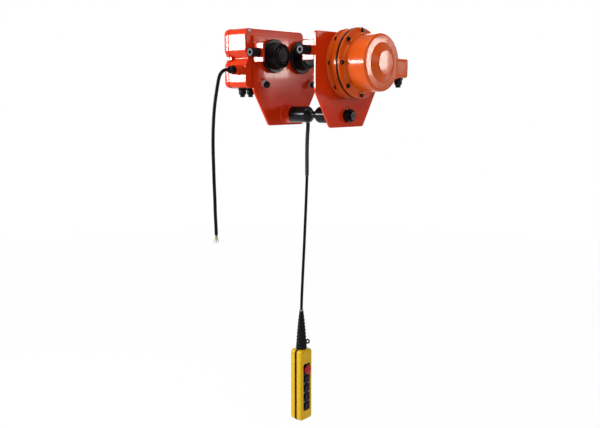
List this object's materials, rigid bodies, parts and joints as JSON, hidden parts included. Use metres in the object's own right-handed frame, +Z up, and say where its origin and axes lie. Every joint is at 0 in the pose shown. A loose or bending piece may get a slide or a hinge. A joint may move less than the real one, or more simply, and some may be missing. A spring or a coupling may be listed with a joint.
{
  "type": "motorised beam trolley",
  "caption": "Motorised beam trolley: side plates on flanged wheels joined by a suspension shaft, with geared travel motor, control box, bumpers and hanging push-button pendant.",
  "frame": {"origin": "midway between the side plates and between the wheel axles, at the height where the treads run on the beam", "axes": "+X across the beam towards the motor, +Y along the beam, +Z up"},
  "size_m": [0.6345, 0.5868, 1.641],
  "materials": {
    "red_enamel": "glossy enamel",
    "orange_enamel": "glossy enamel",
    "black_steel": "semi-gloss black",
    "machined_steel": "machined",
    "wound_core": "varnished windings",
    "black_rubber": "matte",
    "black_plastic": "moulded",
    "yellow_plastic": "moulded",
    "red_plastic": "moulded",
    "grey_plastic": "moulded"
  },
  "bodies": {
    "trolley": {"left_side_plate": "red_enamel", "suspension_shaft": "black_steel", "left_shaft_nut": "black_steel", "right_shaft_nut": "black_steel", "left_front_axle": "machined_steel", "left_front_bearing": "machined_steel", "left_front_bumper": "black_rubber", "left_front_guide_stud": "black_steel", "left_rear_axle": "machined_steel", "left_rear_bearing": "machined_steel", "left_rear_bumper": "black_rubber", "left_rear_guide_stud": "black_steel", "control_box_body": "red_enamel", "control_box_cover": "red_enamel", "contactor_plate": "machined_steel", "forward_contactor": "grey_plastic", "reverse_contactor": "grey_plastic", "supply_gland": "black_plastic", "front_outlet_gland": "black_plastic", "middle_outlet_gland": "black_plastic", "pendant_cord_gland": "black_plastic", "supply_cord": "black_rubber", "pendant_cord": "black_rubber", "pendant_boot": "black_rubber", "pendant_rear_shell": "yellow_plastic", "pendant_front_shell": "yellow_plastic", "pendant_seal": "black_rubber", "pendant_contact_block": "grey_plastic"},
    "motor_side": {"right_side_plate": "red_enamel", "right_front_axle": "machined_steel", "right_front_bearing": "machined_steel", "right_front_bumper": "black_rubber", "right_front_guide_stud": "black_steel", "right_rear_axle": "machined_steel", "right_rear_bearing": "machined_steel", "right_rear_bumper": "black_rubber", "right_rear_guide_stud": "black_steel", "gearbox_housing": "orange_enamel", "motor_shield": "black_steel", "motor_housing": "orange_enamel", "stator_core": "wound_core", "terminal_box": "orange_enamel", "terminal_box_lid": "orange_enamel", "terminal_gland": "black_plastic"},
    "left_front_wheel": {"left_front_wheel": "black_steel"},
    "left_rear_wheel": {"left_rear_wheel": "black_steel"},
    "right_front_wheel": {"right_front_wheel": "black_steel"},
    "right_rear_wheel": {"right_rear_wheel": "black_steel"},
    "drive_shaft": {"drive_pinion": "machined_steel", "output_gear": "machined_steel"},
    "countershaft": {"countershaft": "machined_steel", "countershaft_gear": "machined_steel"},
    "rotor": {"motor_shaft": "machined_steel", "rotor_core": "machined_steel"},
    "emergency_stop": {"emergency_stop": "red_plastic"},
    "up_button": {"up_button": "black_plastic"},
    "down_button": {"down_button": "black_plastic"},
    "left_button": {"left_button": "black_plastic"},
    "right_button": {"right_button": "black_plastic"}
  },
  "joints": [
    {"name": "plate_swing", "type": "hinge", "parent": "trolley", "child": "motor_side", "pos_m": [0.154, 0, -0.177], "axis": [1, 0, 0], "range_deg": [-5, 5]},
    {"name": "left_front_wheel_spin", "type": "hinge", "parent": "trolley", "child": "left_front_wheel", "pos_m": [-0.1165, -0.07883, 0.05], "axis": [1, 0, 0], "continuous": true},
    {"name": "left_rear_wheel_spin", "type": "hinge", "parent": "trolley", "child": "left_rear_wheel", "pos_m": [-0.1165, 0.07883, 0.05], "axis": [1, 0, 0], "continuous": true},
    {"name": "right_front_wheel_spin", "type": "hinge", "parent": "motor_side", "child": "right_front_wheel", "pos_m": [0.1165, -0.07883, 0.05], "axis": [1, 0, 0], "continuous": true},
    {"name": "right_rear_wheel_spin", "type": "hinge", "parent": "motor_side", "child": "right_rear_wheel", "pos_m": [0.1165, 0.07883, 0.05], "axis": [1, 0, 0], "continuous": true},
    {"name": "drive_shaft_spin", "type": "hinge", "parent": "motor_side", "child": "drive_shaft", "pos_m": [0.155, 0, 0.015], "axis": [1, 0, 0], "continuous": true},
    {"name": "countershaft_spin", "type": "hinge", "parent": "motor_side", "child": "countershaft", "pos_m": [0.18, 0, -0.046], "axis": [1, 0, 0], "continuous": true},
    {"name": "rotor_spin", "type": "hinge", "parent": "motor_side", "child": "rotor", "pos_m": [0.25, 0, 0.015], "axis": [1, 0, 0], "continuous": true},
    {"name": "emergency_stop_press", "type": "slide", "parent": "trolley", "child": "emergency_stop", "axis": [-1, 0, 0], "range_m": [0, 0.005]},
    {"name": "up_button_press", "type": "slide", "parent": "trolley", "child": "up_button", "axis": [-1, 0, 0], "range_m": [0, 0.004], "stiffness_N_per_m": 600},
    {"name": "down_button_press", "type": "slide", "parent": "trolley", "child": "down_button", "axis": [-1, 0, 0], "range_m": [0, 0.004], "stiffness_N_per_m": 600},
    {"name": "left_button_press", "type": "slide", "parent": "trolley", "child": "left_button", "axis": [-1, 0, 0], "range_m": [0, 0.004], "stiffness_N_per_m": 600},
    {"name": "right_button_press", "type": "slide", "parent": "trolley", "child": "right_button", "axis": [-1, 0, 0], "range_m": [0, 0.004], "stiffness_N_per_m": 600}
  ],
  "couplings": [
    {"joint": "countershaft_spin", "follows": "rotor_spin", "ratio": -0.35556},
    {"joint": "drive_shaft_spin", "follows": "rotor_spin", "ratio": 0.12642},
    {"joint": "right_front_wheel_spin", "follows": "rotor_spin", "ratio": -0.04133},
    {"joint": "right_rear_wheel_spin", "follows": "rotor_spin", "ratio": -0.04133}
  ]
}
